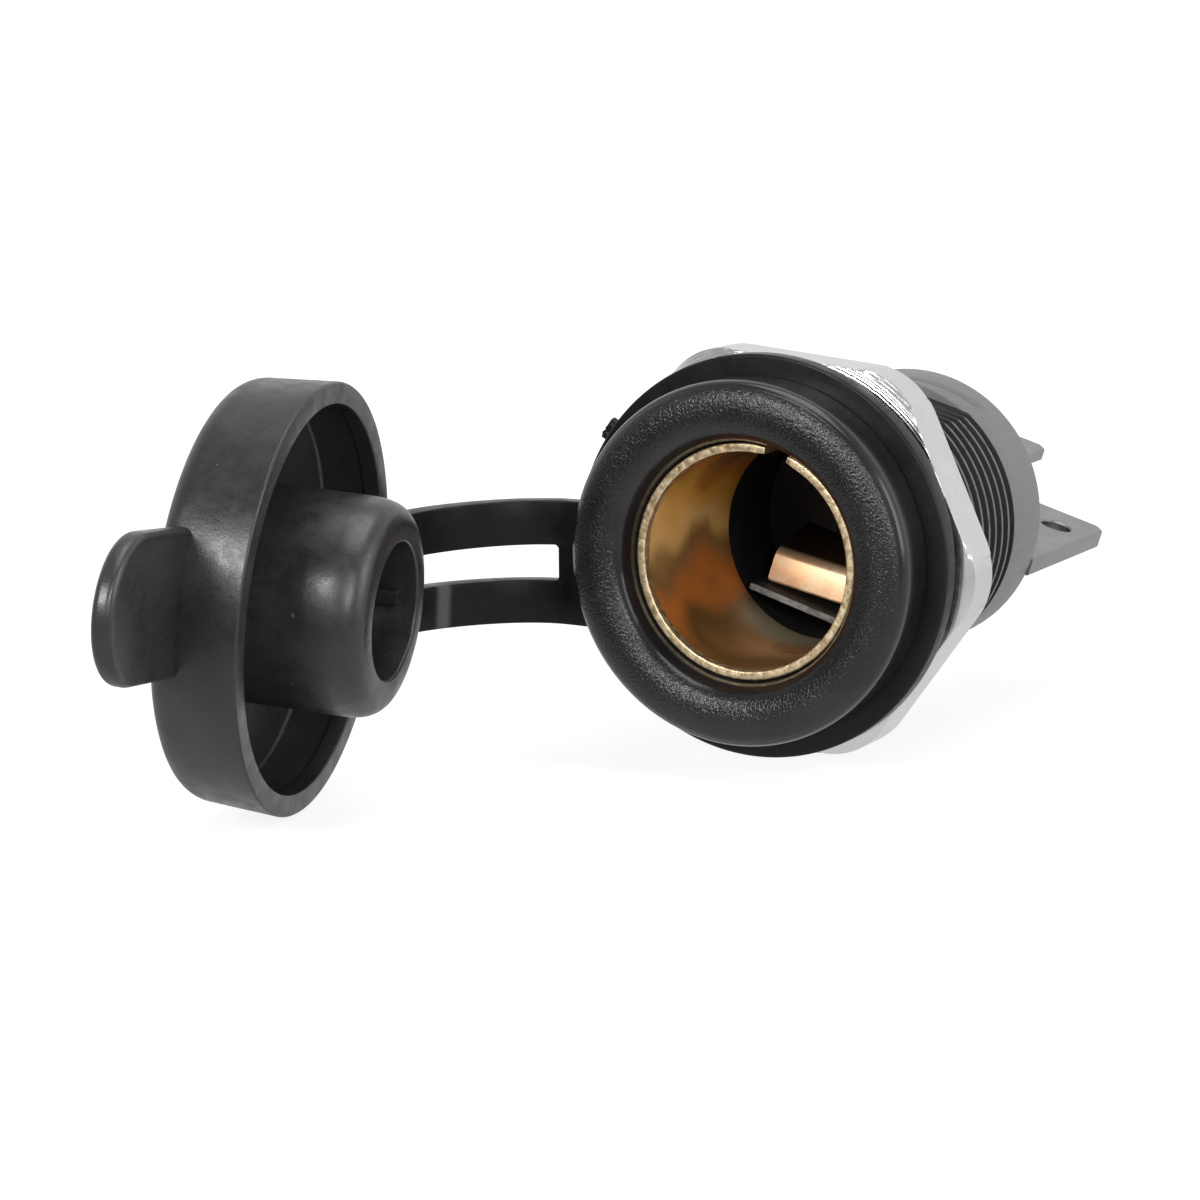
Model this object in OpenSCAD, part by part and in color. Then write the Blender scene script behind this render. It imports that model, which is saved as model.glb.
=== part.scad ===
// Panel power socket for a 12 mm plug, with a tethered rubber dust cap.
// The plug bore runs along Y and its mouth faces -Y. Z is up. Millimetres.

/* [Contact sleeve] */
// inner diameter of the split sleeve that takes the plug
bore_d = 12.2; // [11.9:0.1:12.6]
// wall of the split sleeve
sleeve_wall = 0.5; // [0.35:0.05:0.7]
// length of the split sleeve
sleeve_len = 10.8; // [9:0.2:12]
// width of the slit along the sleeve
slit_w = 1.4; // [0.8:0.1:2.2]
// gap between the sleeve and its pocket
sleeve_play = 0.05; // [0.02:0.01:0.08]
// turn of the slit and the contacts about the bore, clockwise from the front
contact_roll = 17; // [10:1:24]

/* [Socket body] */
// outer diameter of the head
head_d = 20.28; // [19.4:0.1:21.4]
// how far the head's crest stands in front of the sleeve
head_rise = 1.75; // [1.2:0.05:2.4]
// back face of the head behind the sleeve's mouth
head_back = 1.76; // [1.4:0.05:2.6]
// diameter over the thread
thread_d = 17; // [16.2:0.1:17.6]
// depth of the flat along the thread
thread_flat = 0.8; // [0.4:0.05:0.95]
// end of the thread behind the mouth
thread_end = 18.4; // [15:0.2:20]
// diameter of the plain rear section
rear_d = 16.6; // [15.6:0.1:17.2]
// end of the body behind the mouth
body_end = 23.65; // [21.5:0.25:26]
// depth of the chamber behind the sleeve
chamber_len = 6.2; // [5:0.2:7]

/* [Contacts] */
// width of each blade and of the contact leaf
blade_w = 6.3; // [5.2:0.1:6.6]
// thickness of each blade
blade_t = 0.8; // [0.6:0.05:1]
// bare length of each blade behind the body
blade_out = 12.65; // [9:0.25:15]
// size of the cut corners at a blade's tip
blade_nose = 1.5; // [0.8:0.1:2]
// hole through each blade
blade_hole_d = 2.1; // [1.4:0.1:2.6]
// thickness of the copper leaf
leaf_t = 0.5; // [0.3:0.05:0.6]
// drop of the leaf's front edge below its crest
leaf_drop = 1.82; // [1.2:0.05:2.1]
// thickness of the insulating shelf under the leaf
shelf_t = 0.4; // [0.3:0.05:0.5]

/* [Panel nut] */
// width of the nut's wall, from the thread's crest to a flat
nut_rim = 2.4; // [2:0.1:3.5]
// thickness of the nut
nut_t = 3.2; // [2:0.1:4]
// radius of the nut's corners
nut_corner_r = 4.1; // [1.5:0.1:4.5]
// turn of the nut about the bore, clockwise from the front
nut_turn = 35.5; // [30:0.5:60]
// gap between the ring behind the head and the nut
nut_gap = 0.9; // [0.1:0.1:6]
// radial gap between the nut and the thread's crest
nut_play = 0.15; // [0.1:0.01:0.2]

/* [Strap] */
// width of the ring behind the head, from its bore to its edge
ring_w = 2.68; // [2.3:0.02:3.1]
// thickness of the ring
ring_t = 1.23; // [1.15:0.01:1.6]
// radial gap between the ring and the barrel
ring_play = 0.1; // [0.05:0.01:0.2]
// width over the strap's two legs
strap_w = 6.9; // [5.6:0.1:7.6]
// thickness of the strap
strap_t = 1.1; // [0.8:0.05:1.14]
// width of the upper leg
leg_upper = 2.55; // [1.8:0.05:2.7]
// width of the lower leg
leg_lower = 2.5; // [1.8:0.05:2.7]
// height of the strap's root below the bore's axis
root_drop = 1.15; // [0.5:0.05:1.8]

/* [Dust cap] */
// outer diameter at the rim
cap_d = 23; // [22.8:0.1:23.8]
// radial gap between the cap's lip and the head
cap_play = 0.19; // [0.12:0.01:0.25]
// depth of the cup outside
cap_h = 5.05; // [4.8:0.05:6.4]
// depth of the cup inside
cap_depth = 3.5; // [3.3:0.05:3.9]
// radial gap between the plug nub and the sleeve
nub_play = 0.28; // [0.15:0.01:0.35]
// how far the nub stands out of the rim's plane
nub_out = 4.4; // [3.5:0.1:5]
// bore of the nub
nub_bore_d = 7.3; // [6:0.1:8]
// width of the finger tab opposite the strap
tab_w = 7.6; // [6:0.1:8.6]
// distance of the tab's tip from the cap's axis
tab_reach = 20.1; // [17:0.1:22]
// thickness of the tab
tab_t = 1.15; // [0.9:0.05:1.3]
// depth of the tab's face behind the rim
tab_set = 3.2; // [2.8:0.05:3.4]
// turn of the tab upwards about the cap's axis, in degrees
tab_turn = 6.5; // [3:0.5:10]

/* [Cap pose] */
// centre of the cap's rim
cap_x = -15.87; // [-16.6:0.1:-15]
cap_y = -18.68; // [-19.6:0.1:-18]
cap_z = -0.47; // [-0.8:0.05:0]
// turn of the cap's open side from +X towards +Y
cap_yaw = 12.33; // [9:0.5:16]
// tilt of the cap's open side below level
cap_tilt = 5.04; // [2:0.5:8]
// height of the cap's lug below the cap's axis
lug_drop = 1.25; // [0.8:0.05:2.2]

/* [Hidden] */
$fn = 96;
tiny = 0.01;
past = 1;

// radii of the bore and the barrel
sleeve_r = bore_d / 2;
sleeve_ro = sleeve_r + sleeve_wall;
pocket_r = sleeve_ro + sleeve_play;
chamber_step = 0.3;
chamber_r = sleeve_r + chamber_step;
chamber_end = sleeve_len + chamber_len;
head_r = head_d / 2;
barrel_r = thread_d / 2;
rear_r = rear_d / 2;
edge_cut = 0.2;
flat_over = 0.3;
groove_pitch = 1.8;
groove_w = 1.1;
groove_depth = 0.5;
groove_from = head_back + 1.9;
groove_count = floor((thread_end - edge_cut - groove_from) / groove_pitch);

// head outline as [share of the land's width, share of the rise]
land = head_r - pocket_r;
lip_in = [0.043, 0.657];
lip_top = [0.258, 0.857];
crest_pull = [0.473, 1.057];
crest_out = [0.731, 0.943];
round_pull = [1, 0.823];
round_end = [1, 0.343];

// contacts, in the frame turned by contact_roll
neck_w = 3.1;
neck_l = 2.3;
blade_l = 2.05;
blade_m = -1.4;
leaf_rear_m = blade_m - leaf_t;
leaf_crest_m = -1.84 - leaf_t;
leaf_front_m = leaf_crest_m - leaf_drop;
leaf_front_y = sleeve_len + 1.2;
leaf_crest_y = leaf_front_y + 1.7;
leaf_flat_y = leaf_crest_y + 1.7;
leaf_end = chamber_end + 1.8;
leaf_slot_play = 0.05;
shelf_m = -0.764 * sleeve_r;
shelf_half = 0.505 * sleeve_r;
shelf_y = sleeve_len + 0.2;
shelf_slot = 0.4;
root_y = chamber_end + 0.3;
root_len = 2;
root_l = -1;
open_lead = 0.3;
earth_m = 2.5;
arm_l = 3;
arm_play = 0.03;
arm_end = sqrt(chamber_r * chamber_r - pow(earth_m + blade_t, 2)) - arm_play;
blade_end = body_end + blade_out;
hole_back = 5.3;

// nut
nut_y = head_back + ring_t + nut_gap;
ring_back = head_back + ring_t;
nut_bore_r = barrel_r + nut_play;
nut_flat = barrel_r + nut_rim;
corner_out = (nut_flat - nut_corner_r) / cos(30);
nut_reach = corner_out + nut_corner_r;
nut_cut = 0.35;
nut_arc = 10;

// strap and its two lugs
ring_bore_r = barrel_r + ring_play;
ring_r = ring_bore_r + ring_w;
lug_wall = 0.3;
ring_mid = head_back + ring_t / 2;
lug_out = 0.55;
ring_lug_end = ring_r + lug_out;
web_share = [0.065, 0.955];
bend_pull = 4;
strap_steps = 16;
side_pts = 4;
section_n = 2 * side_pts;
gate_turn = 55.5;
gate_d = 1.3;
gate_out = 0.45;

// cap
cap_r = cap_d / 2;
lip_r = head_r + cap_play;
lip_w = 0.9;
undercut = 0.15;
cap_back_r = cap_r - 0.23;
cap_round = 1.4;
rim_cut = 0.15;
nub_r = sleeve_r - nub_play;
nub_nose = 2;
nub_end_r = nub_r - 0.75;
cap_lug_end = cap_r + lug_out;
tab_steps = 16;
rib_w = 0.8;
rib_h = 0.6;
rib_back = 1.1;

cap_centre = [cap_x, cap_y, cap_z];
cap_n = [cos(cap_tilt) * cos(cap_yaw), cos(cap_tilt) * sin(cap_yaw), -sin(cap_tilt)];
cap_a = [-sin(cap_yaw), cos(cap_yaw), 0];
cap_b = cross(cap_n, cap_a);

// strap centre line, a cubic from the ring's lug to the cap's lug
strap_p0 = [-ring_lug_end, ring_mid, -root_drop];
strap_p3 = cap_centre - cap_n * strap_t / 2 + cap_a * cap_lug_end - cap_b * lug_drop;
strap_p1 = strap_p0 + [-bend_pull, 0, 0];
strap_p2 = strap_p3 + cap_a * bend_pull;

function unit(v) = v / norm(v);
function bez2(a, b, c, n) = [for (i = [1:n]) let (t = i / n)
    a * pow(1 - t, 2) + b * 2 * t * (1 - t) + c * t * t];
function strap_at(t) = strap_p0 * pow(1 - t, 3) + strap_p1 * 3 * t * pow(1 - t, 2)
    + strap_p2 * 3 * t * t * (1 - t) + strap_p3 * pow(t, 3);
function strap_dir(t) = unit((strap_p1 - strap_p0) * pow(1 - t, 2)
    + (strap_p2 - strap_p1) * 2 * t * (1 - t) + (strap_p3 - strap_p2) * t * t);
function strap_up(t) = unit([0, 0, 1] * (1 - t) + cap_b * t);
function head_pt(f) = [pocket_r + land * f[0], -head_rise * f[1]];
function groove_pts(y) = [[barrel_r, y], [barrel_r - groove_depth, y + groove_w / 2],
    [barrel_r, y + groove_w]];
function nose_pts(l0) = [[l0 + blade_w, blade_end - blade_nose],
    [l0 + blade_w - blade_nose, blade_end], [l0 + blade_nose, blade_end],
    [l0, blade_end - blade_nose]];

module along_y() {
    rotate([-90, 0, 0]) children();
}

module rolled() {
    rotate([0, contact_roll, 0]) children();
}

// block in the contact frame: l across, y along the bore, m up
module block(l0, l1, y0, y1, m0, m1) {
    translate([l0, y0, m0]) cube([l1 - l0, y1 - y0, m1 - m0]);
}

module socket_body() {
    outline = concat(
        [[0, chamber_end], [chamber_r, chamber_end], [chamber_r, sleeve_len],
         [pocket_r, sleeve_len], [pocket_r, 0]],
        bez2([pocket_r, 0], head_pt(lip_in), head_pt(lip_top), 10),
        bez2(head_pt(lip_top), head_pt(crest_pull), head_pt(crest_out), 8),
        bez2(head_pt(crest_out), head_pt(round_pull), head_pt(round_end), 10),
        [[head_r, head_back - edge_cut], [head_r - edge_cut, head_back],
         [barrel_r, head_back]],
        [for (i = [0:groove_count - 1]) each groove_pts(groove_from + i * groove_pitch)],
        [[barrel_r, thread_end - edge_cut], [rear_r, thread_end],
         [rear_r, body_end - edge_cut], [rear_r - edge_cut, body_end], [0, body_end]]);
    color([0.05, 0.05, 0.055])
        difference() {
            along_y() rotate_extrude($fn = 180) polygon(outline);
            rolled() {
                block(-head_r, head_r, head_back, thread_end + flat_over,
                      barrel_r - thread_flat, head_r);
                centre_way();
                earth_way();
                shelf_block();
            }
        }
}

// path of the centre terminal and the leaf's rear end in the rear wall
module centre_way() {
    translate([0, 0, blade_m]) linear_extrude(blade_t) polygon(centre_plan(body_end + past));
    block(-blade_w / 2 - leaf_slot_play, blade_w / 2 + leaf_slot_play,
          chamber_end - open_lead, leaf_end + leaf_slot_play,
          leaf_rear_m - leaf_slot_play, blade_m + leaf_slot_play);
}

// path of the sleeve terminal and its arm in the rear wall
module earth_way() {
    translate([0, 0, earth_m])
        linear_extrude(blade_t) polygon(earth_plan(chamber_end - open_lead, body_end + past));
}

// plans of the two terminals in l and y, without their blades
function centre_plan(y1) = [[root_l, root_y], [neck_l + neck_w, root_y], [neck_l + neck_w, y1],
    [neck_l, y1], [neck_l, root_y + root_len], [root_l, root_y + root_len]];
function earth_plan(y0, y1) = [[-blade_w / 2, root_y], [arm_l, root_y], [arm_l, y0],
    [arm_end, y0], [arm_end, root_y + root_len], [blade_w / 2, root_y + root_len],
    [blade_w / 2, y1], [-blade_w / 2, y1]];

module outer_sleeve() {
    color([0.80, 0.62, 0.30])
        rolled()
            difference() {
                along_y()
                    difference() {
                        cylinder(r = sleeve_ro, h = sleeve_len, $fn = 180);
                        translate([0, 0, -past])
                            cylinder(r = sleeve_r, h = sleeve_len + 2 * past, $fn = 180);
                    }
                block(-slit_w / 2, slit_w / 2, -past, sleeve_len + past, 0, head_r);
            }
}

// flat terminal at height m0 with its blade's hole centred at l
module terminal(m0, mid, plan) {
    color([0.62, 0.62, 0.62])
        rolled()
            translate([0, 0, m0])
                difference() {
                    linear_extrude(blade_t) polygon(plan);
                    translate([mid, blade_end - hole_back, -past])
                        cylinder(d = blade_hole_d, h = blade_t + 2 * past, $fn = 48);
                }
}

// blade with an arm that meets the rear edge of the sleeve
module sleeve_terminal() {
    base = earth_plan(sleeve_len, body_end);
    terminal(earth_m, 0, concat([for (i = [0:5]) base[i]], nose_pts(-blade_w / 2)));
}

// blade on a narrow neck, its root lying on the leaf's rear end
module centre_terminal() {
    base = centre_plan(body_end);
    terminal(blade_m, blade_l + blade_w / 2,
             concat([for (i = [0:2]) base[i]], [[blade_l + blade_w, body_end]],
                    nose_pts(blade_l), [[blade_l, body_end]], [for (i = [3:5]) base[i]]));
}

// copper leaf: flat rear end in the wall, easing down to a crest, then a steep ramp
module centre_contact() {
    top = concat(
        [[leaf_end, leaf_rear_m + leaf_t], [leaf_flat_y, leaf_rear_m + leaf_t],
         [leaf_crest_y + 0.7, leaf_crest_m + leaf_t + 0.18]],
        bez2([leaf_crest_y + 0.7, leaf_crest_m + leaf_t + 0.18],
             [leaf_crest_y, leaf_crest_m + leaf_t],
             [leaf_crest_y - 0.55, leaf_crest_m + leaf_t - 0.6], 6),
        [[leaf_front_y, leaf_front_m + leaf_t]]);
    low = [[leaf_front_y + leaf_t * 0.35, leaf_front_m + leaf_t * 0.7],
           [leaf_crest_y - 0.15, leaf_crest_m - 0.6],
           [leaf_crest_y + 0.25, leaf_crest_m - 0.12],
           [leaf_crest_y + 0.8, leaf_crest_m + 0.12],
           [leaf_flat_y, leaf_rear_m], [leaf_end, leaf_rear_m]];
    color([0.78, 0.45, 0.25])
        rolled()
            translate([-blade_w / 2, 0, 0])
                rotate([90, 0, 90])
                    linear_extrude(blade_w)
                        polygon(concat(top, low));
}

module shelf_block() {
    block(-shelf_half, shelf_half, shelf_y, chamber_end + shelf_slot,
          shelf_m - shelf_t / 2, shelf_m + shelf_t / 2);
}

module insulator_shelf() {
    color([0.45, 0.45, 0.43])
        rolled() shelf_block();
}

// rounded hexagon, its corners drawn as short arcs
module panel_nut() {
    outline = [for (i = [0:5]) for (k = [0:nut_arc])
        [corner_out * cos(60 * i) + nut_corner_r * cos(60 * i - 30 + 60 * k / nut_arc),
         corner_out * sin(60 * i) + nut_corner_r * sin(60 * i - 30 + 60 * k / nut_arc)]];
    color([0.78, 0.78, 0.76])
        translate([0, nut_y, 0])
            rotate([0, nut_turn, 0])
                along_y()
                    difference() {
                        intersection() {
                            rotate(90) linear_extrude(nut_t) polygon(outline);
                            nut_envelope();
                        }
                        nut_bore();
                    }
}

module nut_bore() {
    translate([0, 0, -past]) cylinder(r = nut_bore_r, h = nut_t + 2 * past, $fn = 180);
    translate([0, 0, -past])
        cylinder(r1 = nut_bore_r + past + nut_cut, r2 = nut_bore_r, h = past + nut_cut,
                 $fn = 180);
    translate([0, 0, nut_t - nut_cut])
        cylinder(r1 = nut_bore_r, r2 = nut_bore_r + past + nut_cut, h = past + nut_cut,
                 $fn = 180);
}

// turned body that cuts the nut's corners back on both faces
module nut_envelope() {
    rotate_extrude($fn = 180)
        polygon([[0, 0], [nut_reach - nut_cut * 1.6, 0], [nut_reach + tiny, nut_cut],
                 [nut_reach + tiny, nut_t - nut_cut],
                 [nut_reach - nut_cut * 1.6, nut_t], [0, nut_t]]);
}

module strap_ring() {
    color([0.10, 0.10, 0.10]) {
        along_y()
            rotate_extrude($fn = 180)
                polygon([[ring_bore_r, head_back], [ring_r - edge_cut, head_back],
                         [ring_r, head_back + edge_cut], [ring_r, ring_back - edge_cut],
                         [ring_r - edge_cut, ring_back], [ring_bore_r, ring_back]]);
        difference() {
            translate([-ring_lug_end, ring_mid - strap_t / 2, -root_drop - strap_w / 2])
                cube([ring_lug_end - ring_bore_r, strap_t, strap_w]);
            translate([0, head_back - past, 0])
                along_y() cylinder(r = ring_r - lug_wall, h = ring_t + 2 * past, $fn = 180);
        }
        rotate([0, -gate_turn, 0])
            translate([0, ring_mid, ring_r - edge_cut])
                cylinder(d1 = gate_d, d2 = gate_d * 0.7, h = gate_out + edge_cut,
                         $fn = 24);
    }
}

// the strap's cross sections run from one lug to the other, eight points each:
// two sides, and four heights that bound the lower leg, the window and the upper leg
function strap_t_at(i) = i == 0 ? 0 : i == strap_steps ? 1
    : web_share[0] + (web_share[1] - web_share[0]) * (i - 1) / (strap_steps - 2);
function section_pts(t) = let (
    d = strap_dir(t), up0 = strap_up(t), up = unit(up0 - d * (up0 * d)), side = cross(up, d))
    [for (x = [-strap_t / 2, strap_t / 2])
        for (w = [-strap_w / 2, leg_lower - strap_w / 2, strap_w / 2 - leg_upper, strap_w / 2])
            strap_at(t) + side * x + up * w];
function pt(i, side, level) = i * section_n + side * side_pts + level;
function face_right(i, a) = [pt(i + 1, 1, a), pt(i + 1, 1, a + 1), pt(i, 1, a + 1), pt(i, 1, a)];
function face_left(i, a) = [pt(i, 0, a + 1), pt(i + 1, 0, a + 1), pt(i + 1, 0, a), pt(i, 0, a)];
function face_up(i, a) = [pt(i, 1, a), pt(i + 1, 1, a), pt(i + 1, 0, a), pt(i, 0, a)];
function face_down(i, a) = [pt(i + 1, 0, a), pt(i + 1, 1, a), pt(i, 1, a), pt(i, 0, a)];
function face_ahead(i, a) = [pt(i, 0, a + 1), pt(i, 1, a + 1), pt(i, 1, a), pt(i, 0, a)];
function face_behind(i, a) = [pt(i, 1, a), pt(i, 1, a + 1), pt(i, 0, a + 1), pt(i, 0, a)];

module strap() {
    last = strap_steps - 1;
    skin = [for (i = [0:last]) each concat(
        [face_up(i, 3), face_down(i, 0)],
        [for (a = [0, 2]) each [face_right(i, a), face_left(i, a)]])];
    webs = [for (i = [0, last]) each [face_right(i, 1), face_left(i, 1)]];
    window = concat(
        [for (i = [1:last - 1]) each [face_up(i, 1), face_down(i, 2)]],
        [face_ahead(1, 1), face_behind(last, 1)]);
    ends = [for (a = [0:2]) each [face_behind(0, a), face_ahead(strap_steps, a)]];
    color([0.10, 0.10, 0.10])
        polyhedron(points = [for (i = [0:strap_steps]) each section_pts(strap_t_at(i))],
                   faces = concat(skin, webs, window, ends), convexity = 6);
}

// cap's own frame: Z out of the open side, Y towards the strap, X down
module cap_frame() {
    translate(cap_centre) rotate([0, 90 + cap_tilt, cap_yaw]) children();
}

module dust_cap() {
    shell = concat(
        [[0, -cap_h], [cap_back_r - cap_round, -cap_h]],
        bez2([cap_back_r - cap_round, -cap_h], [cap_back_r, -cap_h],
             [cap_back_r, -cap_h + cap_round], 8),
        [[cap_r, -rim_cut], [cap_r - rim_cut, 0], [lip_r + rim_cut, 0],
         [lip_r, -rim_cut], [lip_r, -lip_w], [lip_r + undercut, -lip_w - undercut],
         [lip_r + undercut, -cap_depth + undercut], [lip_r, -cap_depth],
         [nub_r, -cap_depth], [nub_r, nub_out - nub_nose]],
        bez2([nub_r, nub_out - nub_nose], [nub_r, nub_out - 0.5], [nub_end_r, nub_out], 8),
        [[nub_bore_d / 2 + rim_cut, nub_out], [nub_bore_d / 2, nub_out - rim_cut],
         [nub_bore_d / 2, -cap_depth], [0, -cap_depth]]);
    tab = concat(
        [[tab_w / 2, 0], [-tab_w / 2, 0]],
        [for (i = [0:tab_steps]) let (a = 180 * i / tab_steps)
            [-tab_w / 2 * cos(a), tab_reach - tab_w / 2 + tab_w / 2 * sin(a)]]);
    color([0.09, 0.09, 0.09])
        cap_frame() {
            rotate_extrude($fn = 180) polygon(shell);
            difference() {
                translate([0, 0, -tab_set - tab_t])
                    rotate(180 - tab_turn)
                        linear_extrude(tab_t) polygon(tab);
                translate([0, 0, -cap_h - past])
                    cylinder(r = cap_back_r - lug_wall, h = cap_h + 2 * past, $fn = 180);
            }
            difference() {
                translate([lug_drop - strap_w / 2, lip_r - 2, -strap_t])
                    cube([strap_w, cap_lug_end - lip_r + 2, strap_t]);
                translate([0, 0, -strap_t - past])
                    cylinder(r = cap_r - lug_wall, h = strap_t + 2 * past, $fn = 180);
            }
            translate([-rib_w / 2, nub_bore_d / 2 - rib_h, -cap_depth])
                cube([rib_w, rib_h + lug_wall, cap_depth + nub_out - rib_back]);
        }
}

socket_body();
outer_sleeve();
sleeve_terminal();
centre_contact();
centre_terminal();
insulator_shelf();
panel_nut();
strap_ring();
strap();
dust_cap();
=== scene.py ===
"""Panel power socket with a tethered dust cap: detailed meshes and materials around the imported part."""
import math

import bmesh
import bpy
import numpy as np
from mathutils import Matrix, Vector, noise


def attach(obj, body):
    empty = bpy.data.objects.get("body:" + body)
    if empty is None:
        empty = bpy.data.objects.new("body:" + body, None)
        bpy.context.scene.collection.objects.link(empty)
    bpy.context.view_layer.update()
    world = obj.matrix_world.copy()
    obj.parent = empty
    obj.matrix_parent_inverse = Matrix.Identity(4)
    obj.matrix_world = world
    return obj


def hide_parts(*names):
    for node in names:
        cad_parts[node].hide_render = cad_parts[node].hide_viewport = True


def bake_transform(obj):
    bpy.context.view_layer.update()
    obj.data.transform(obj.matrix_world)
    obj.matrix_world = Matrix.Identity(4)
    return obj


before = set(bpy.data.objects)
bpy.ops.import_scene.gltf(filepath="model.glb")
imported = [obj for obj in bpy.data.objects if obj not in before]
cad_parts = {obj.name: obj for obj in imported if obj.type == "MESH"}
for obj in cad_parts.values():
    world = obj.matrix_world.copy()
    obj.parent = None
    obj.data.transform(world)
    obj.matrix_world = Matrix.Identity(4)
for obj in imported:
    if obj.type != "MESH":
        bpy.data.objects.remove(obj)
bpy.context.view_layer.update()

MM = 0.001
TAU = 2 * math.pi

# sizes in millimetres, most of them as in the part's source
BORE_R, SLEEVE_RO, POCKET_R, SLEEVE_LEN = 6.1, 6.6, 6.65, 10.8
CHAMBER_R, CHAMBER_END = 6.4, 17.0
HEAD_R, HEAD_BACK, RISE = 10.14, 1.76, 1.75
BARREL_R, ROOT_R, PITCH, THREAD_END = 8.5, 7.9, 1.0, 19.2
REAR_R, BODY_END, FLAT_M = 8.3, 23.65, 7.7
ROLL = math.radians(17)
RING_R, RING_BACK, RING_BORE = 11.28, 2.99, 8.6
NUT_Y, NUT_T, NUT_AF, NUT_CORNER, NUT_BORE = 3.89, 3.2, 21.8, 4.1, 8.65
NUT_TURN = math.radians(35.5)
CAP_C = Vector((-15.87, -18.68, -0.47))
YAW, TILT = math.radians(12.33), math.radians(5.04)
CAP_N = Vector((math.cos(TILT) * math.cos(YAW), math.cos(TILT) * math.sin(YAW), -math.sin(TILT)))
CAP_A = Vector((-math.sin(YAW), math.cos(YAW), 0))
CAP_B = CAP_N.cross(CAP_A)
CAP_R, LIP_R, CAP_H, CAP_DEPTH = 11.5, 10.33, 5.05, 3.5
NUB_R, NUB_OUT, NUB_BORE = 5.82, 4.4, 3.65
TAB_HALF, TAB_REACH, TAB_FACE, TAB_BACK, TAB_TURN = 3.8, 20.1, -3.2, -4.35, math.radians(6.5)
FLOOR_Z = -12.3


# Mesh tools

def along_y(p):
    """Frame of a shape turned about the bore (across, up, along) to the row frame."""
    return Vector((p[0], p[2], p[1]))


def rolled(l, y, m):
    """Point of the contact frame: l across, y along the bore, m up."""
    return Vector((l * math.cos(ROLL) + m * math.sin(ROLL), y, -l * math.sin(ROLL) + m * math.cos(ROLL)))


def in_cap(p):
    """Cap frame (down, towards the strap, out of the open side) to the row frame."""
    return CAP_C - CAP_B * p[0] + CAP_A * p[1] + CAP_N * p[2]


def fillet(points, radii, steps=6, closed=True):
    """Rounds the corners of an outline, by one radius or each by its own."""
    out = []
    n = len(points)
    for i, p in enumerate(points):
        r = radii[i] if isinstance(radii, (list, tuple)) else radii
        if r <= 0 or (not closed and i in (0, n - 1)):
            out.append(tuple(p))
            continue
        p = Vector(p)
        a, b = Vector(points[i - 1]) - p, Vector(points[(i + 1) % n]) - p
        la, lb = a.length, b.length
        a.normalize()
        b.normalize()
        half = math.acos(max(-1, min(1, a.dot(b)))) / 2
        # a nearly straight corner stays as it is
        if half > math.radians(88):
            out.append(tuple(p))
            continue
        t = min(r / math.tan(half), la * 0.48, lb * 0.48)
        r = t * math.tan(half)
        c = p + (a + b).normalized() * (r / math.sin(half))
        s, e = p + a * t - c, p + b * t - c
        ang = s.angle_signed(e) if s.length and e.length else 0
        for k in range(steps + 1):
            v = s.copy()
            v.rotate(Matrix.Rotation(-ang * k / steps, 2))
            out.append(tuple(c + v))
    return out


def bez(a, b, c, n):
    """Points of a quadratic curve, without the first."""
    return [tuple(a[k] * (1 - t) ** 2 + 2 * b[k] * t * (1 - t) + c[k] * t * t for k in (0, 1))
            for t in [i / n for i in range(1, n + 1)]]


def build(name, verts, faces, material, body, nodes=(), angle=32, closed=True):
    """A mesh object in metres. It rides on a body, and stands for solids of the part."""
    me = bpy.data.meshes.new(name)
    me.from_pydata([tuple(Vector(v) * MM) for v in verts], [], faces)
    bm = bmesh.new()
    bm.from_mesh(me)
    bmesh.ops.remove_doubles(bm, verts=bm.verts, dist=1e-7)
    if closed:
        bmesh.ops.recalc_face_normals(bm, faces=bm.faces)
    bm.to_mesh(me)
    bm.free()
    me.shade_smooth()
    me.set_sharp_from_angle(angle=math.radians(angle))
    me.materials.append(material)
    obj = bpy.data.objects.new(name, me)
    bpy.context.scene.collection.objects.link(obj)
    if body:
        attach(obj, body)
    if nodes:
        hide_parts(*nodes)
    return obj


def loft(rings, around=True, loop=False, caps=True):
    """Joins rings of equal length. around closes each ring, loop joins the last ring to the first."""
    n = len(rings[0])
    verts = [p for ring in rings for p in ring]
    faces = []
    rows = len(rings)
    for i in range(rows if loop else rows - 1):
        for j in range(n if around else n - 1):
            a, b = i * n + j, i * n + (j + 1) % n
            c, d = ((i + 1) % rows) * n + (j + 1) % n, ((i + 1) % rows) * n + j
            faces.append((a, b, c, d))
    if caps and around and not loop:
        faces.append(tuple(range(n)))
        faces.append(tuple(range((rows - 1) * n, rows * n)))
    return verts, faces


def turned(outline, n, place, loop=True):
    """Revolves an (r, s) outline. A closed one off the axis gives a ring, an open one ends on the axis."""
    verts = []
    for i in range(n):
        t = TAU * i / n
        verts += [place((r * math.sin(t), r * math.cos(t), s)) for r, s in outline]
    m = len(outline)
    faces = []
    for i in range(n):
        k = (i + 1) % n
        for j in range(m if loop else m - 1):
            faces.append((i * m + j, i * m + (j + 1) % m, k * m + (j + 1) % m, k * m + j))
    return verts, faces


def merge(*parts):
    """Several meshes as one."""
    verts, faces = [], []
    for part_verts, part_faces in parts:
        base = len(verts)
        verts += list(part_verts)
        faces += [tuple(base + i for i in face) for face in part_faces]
    return verts, faces


def inset(loop, d):
    """Moves each point of a flat loop to its left by the same distance from both its edges."""
    n = len(loop)
    out = []
    for i, p in enumerate(loop):
        a, b = Vector(loop[i - 1]), Vector(loop[(i + 1) % n])
        p = Vector(p)
        u, v = (p - a).normalized(), (b - p).normalized()
        left_u, left_v = Vector((-u.y, u.x)), Vector((-v.y, v.x))
        m = left_u + left_v
        m = m / max(0.2, m.dot(left_u))
        out.append(p + m * d)
    return out


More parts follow.
